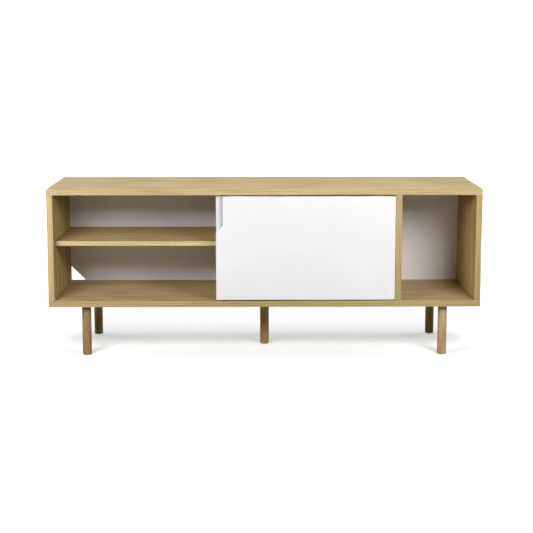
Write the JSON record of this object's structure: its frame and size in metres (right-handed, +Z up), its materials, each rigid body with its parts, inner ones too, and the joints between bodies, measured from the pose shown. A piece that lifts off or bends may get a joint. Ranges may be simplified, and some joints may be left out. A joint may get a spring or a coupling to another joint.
{
  "type": "media cabinet",
  "caption": "Long low wooden media cabinet on round legs, with open shelved bays and a white sliding door that has a finger pull.",
  "frame": {"origin": "centre of the footprint, on the surface that the cabinet stands on", "axes": "+X to the right along the cabinet's length, +Y to the back, +Z up; the door and open bays face -Y"},
  "size_m": [1.65, 0.4, 0.65],
  "materials": {
    "oak_veneer": "light oak veneer, matt lacquer",
    "oak_solid": "solid oak, matt lacquer",
    "door_lacquer": "fibreboard with satin white lacquer",
    "back_board": "thin fibreboard with matt off-white lacquer",
    "beech": "raw beech",
    "track_aluminium": "satin anodised",
    "zinc_steel": "bright zinc plated",
    "roller_plastic": "natural white acetal",
    "glide_plastic": "black polyethylene",
    "stop_rubber": "black rubber"
  },
  "bodies": {
    "cabinet": {"top_panel": "oak_veneer", "bottom_panel": "oak_veneer", "left_side_panel": "oak_veneer", "right_side_panel": "oak_veneer", "middle_divider": "oak_veneer", "right_divider": "oak_veneer", "left_shelf": "oak_veneer", "middle_shelf": "oak_veneer", "back_panel": "back_board", "front_left_leg": "oak_solid", "front_right_leg": "oak_solid", "rear_left_leg": "oak_solid", "rear_right_leg": "oak_solid", "middle_leg": "oak_solid", "front_left_leg_bolt": "zinc_steel", "front_right_leg_bolt": "zinc_steel", "rear_left_leg_bolt": "zinc_steel", "rear_right_leg_bolt": "zinc_steel", "middle_leg_bolt": "zinc_steel", "front_left_leg_insert": "zinc_steel", "front_right_leg_insert": "zinc_steel", "rear_left_leg_insert": "zinc_steel", "rear_right_leg_insert": "zinc_steel", "middle_leg_insert": "zinc_steel", "front_left_leg_glide": "glide_plastic", "front_right_leg_glide": "glide_plastic", "rear_left_leg_glide": "glide_plastic", "rear_right_leg_glide": "glide_plastic", "middle_leg_glide": "glide_plastic", "left_shelf_left_front_pin": "zinc_steel", "left_shelf_left_rear_pin": "zinc_steel", "left_shelf_right_front_pin": "zinc_steel", "left_shelf_right_rear_pin": "zinc_steel", "middle_shelf_left_front_pin": "zinc_steel", "middle_shelf_left_rear_pin": "zinc_steel", "middle_shelf_right_front_pin": "zinc_steel", "middle_shelf_right_rear_pin": "zinc_steel", "lower_left_front_dowel": "beech", "lower_left_rear_dowel": "beech", "lower_right_front_dowel": "beech", "lower_right_rear_dowel": "beech", "upper_left_front_dowel": "beech", "upper_left_rear_dowel": "beech", "upper_right_front_dowel": "beech", "upper_right_rear_dowel": "beech", "door_track": "track_aluminium", "left_door_stop": "stop_rubber", "right_door_stop": "stop_rubber", "door_guide": "glide_plastic"},
    "door": {"door_panel": "door_lacquer", "left_hanger": "zinc_steel", "right_hanger": "zinc_steel", "left_hanger_screw": "zinc_steel", "right_hanger_screw": "zinc_steel"},
    "left_roller": {"left_roller_axle": "zinc_steel", "left_front_roller_wheel": "roller_plastic", "left_rear_roller_wheel": "roller_plastic"},
    "right_roller": {"right_roller_axle": "zinc_steel", "right_front_roller_wheel": "roller_plastic", "right_rear_roller_wheel": "roller_plastic"}
  },
  "joints": [
    {"name": "door_slide", "type": "slide", "parent": "cabinet", "child": "door", "axis": [-1, 0, 0], "range_m": [0, 0.612]},
    {"name": "left_roller_spin", "type": "hinge", "parent": "door", "child": "left_roller", "pos_m": [-0.1255, -0.1821, 0.6331], "axis": [0, -1, 0], "continuous": true},
    {"name": "right_roller_spin", "type": "hinge", "parent": "door", "child": "right_roller", "pos_m": [0.437, -0.1821, 0.6331], "axis": [0, -1, 0], "continuous": true}
  ],
  "couplings": [
    {"joint": "left_roller_spin", "follows": "door_slide", "rad_per_m": 217.39},
    {"joint": "right_roller_spin", "follows": "door_slide", "rad_per_m": 217.39}
  ]
}
